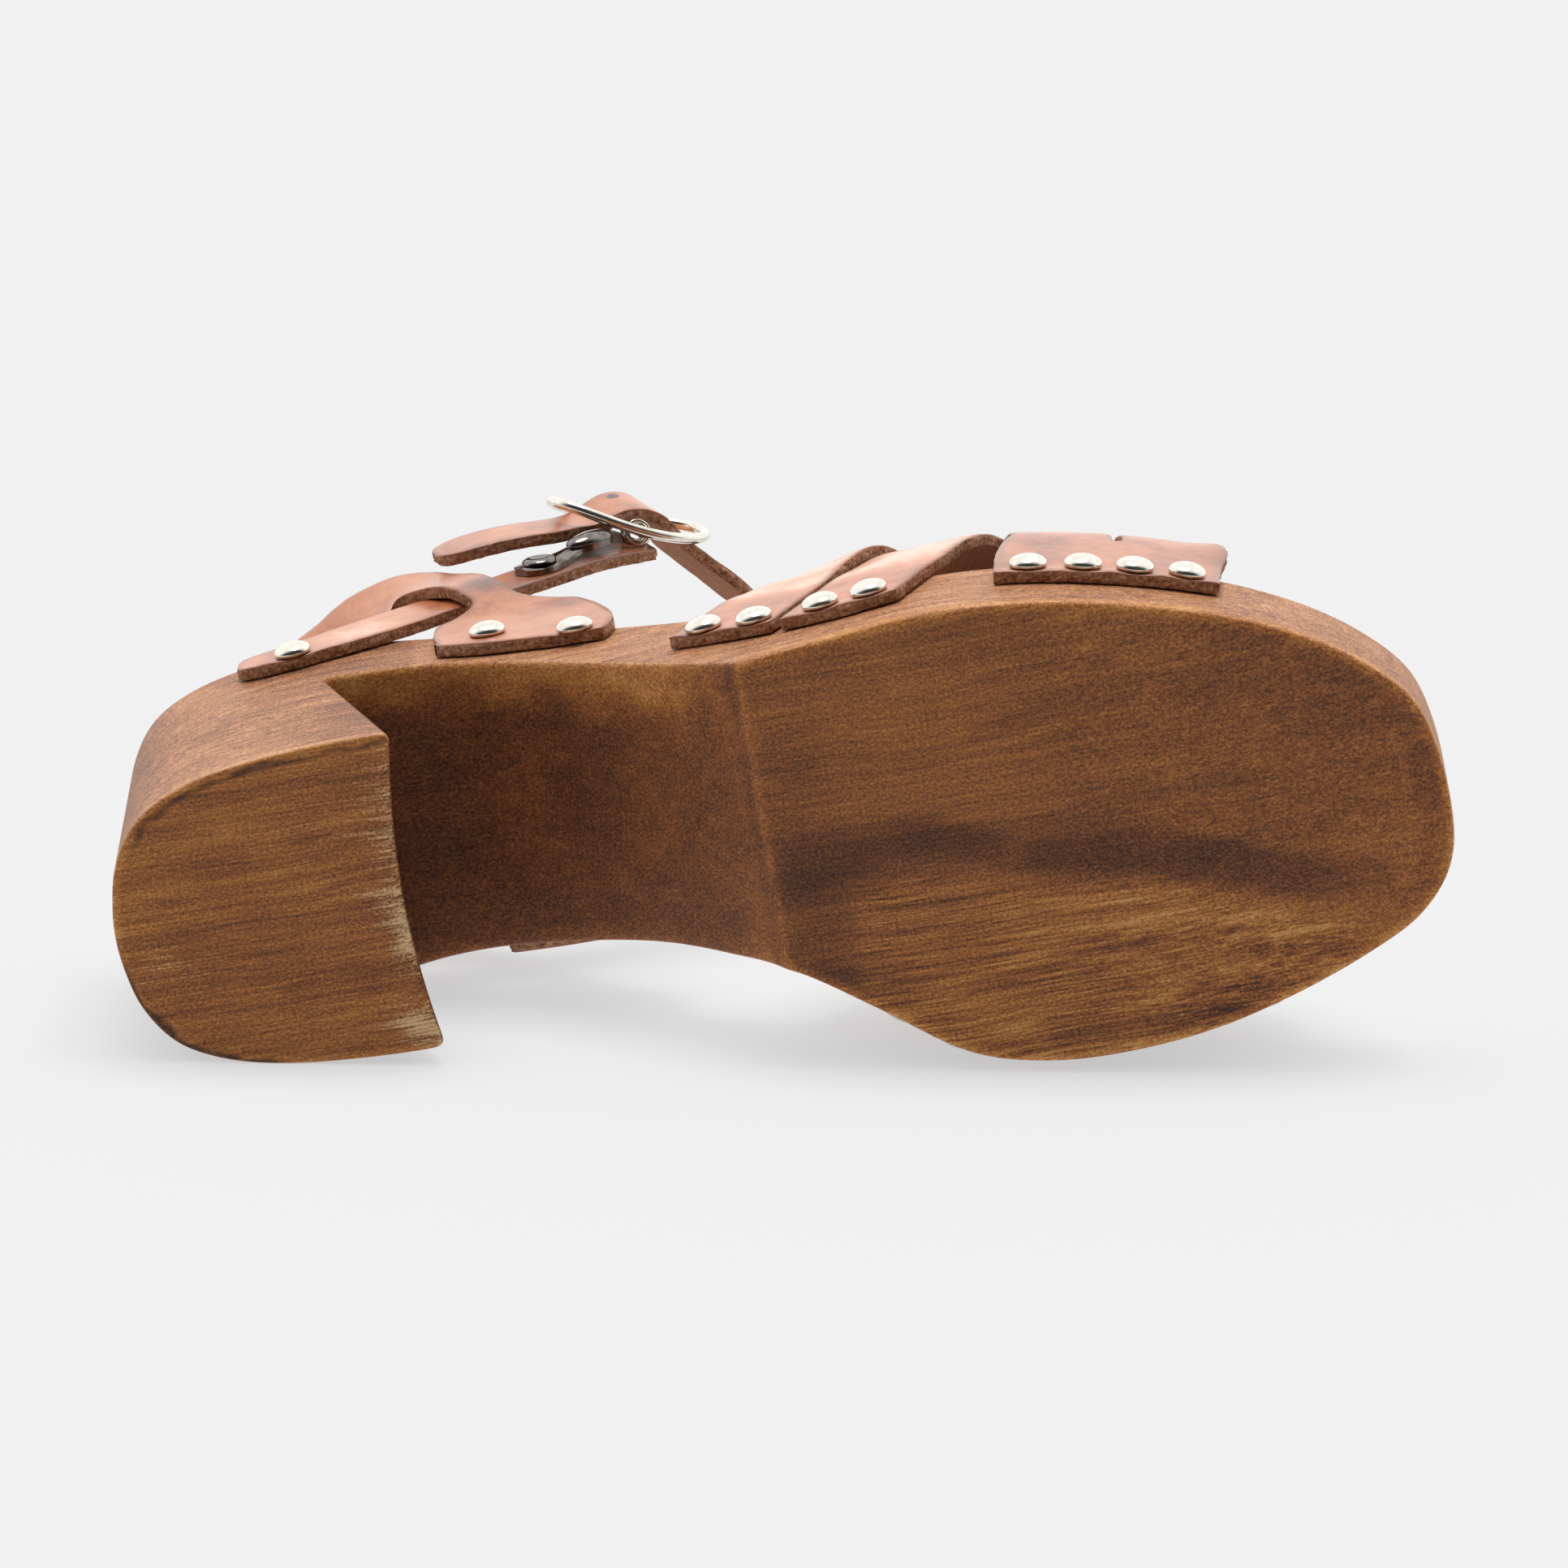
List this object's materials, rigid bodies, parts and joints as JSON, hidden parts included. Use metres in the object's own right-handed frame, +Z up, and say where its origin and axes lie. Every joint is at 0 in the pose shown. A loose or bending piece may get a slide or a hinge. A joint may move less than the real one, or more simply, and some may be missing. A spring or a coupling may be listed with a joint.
{
  "type": "wooden sole sandal",
  "caption": "High-heeled wooden sole sandal with woven leather toe straps, a back strap and a buckled ankle strap nailed to the wood with domed studs, lying on its side.",
  "frame": {"origin": "centre of the object's box in plan, on the floor the shoe lies on", "axes": "+X towards the toe, +Y from the tread towards the straps, +Z up from the floor, on the shoe's lateral side"},
  "size_m": [0.2376, 0.1298, 0.0914],
  "materials": {
    "wood": "oiled, worn on the tread",
    "insole": "smooth cover glued on the footbed",
    "leather": "smooth tan outside, raw cut edges",
    "nickel": "polished nickel plate",
    "dark_nickel": "dark nickel plate"
  },
  "bodies": {
    "root": {"wooden_sole": "wood", "insole": "insole", "vamp_straps": "leather", "heel_straps": "leather", "buckle_ring": "nickel", "hook_plate": "dark_nickel", "hook_rivet": "dark_nickel", "stud_lateral_01": "nickel", "stud_lateral_02": "nickel", "stud_lateral_03": "nickel", "stud_lateral_04": "nickel", "stud_lateral_05": "nickel", "stud_lateral_06": "nickel", "stud_lateral_07": "nickel", "stud_lateral_08": "nickel", "stud_lateral_09": "nickel", "stud_lateral_10": "nickel", "stud_lateral_11": "nickel", "stud_medial_01": "nickel", "stud_medial_02": "nickel", "stud_medial_03": "nickel", "stud_medial_04": "nickel", "stud_medial_05": "nickel", "stud_medial_06": "nickel", "stud_medial_07": "nickel", "stud_medial_08": "nickel", "stud_medial_09": "nickel", "stud_medial_10": "nickel", "stud_medial_11": "nickel"}
  },
  "joints": []
}
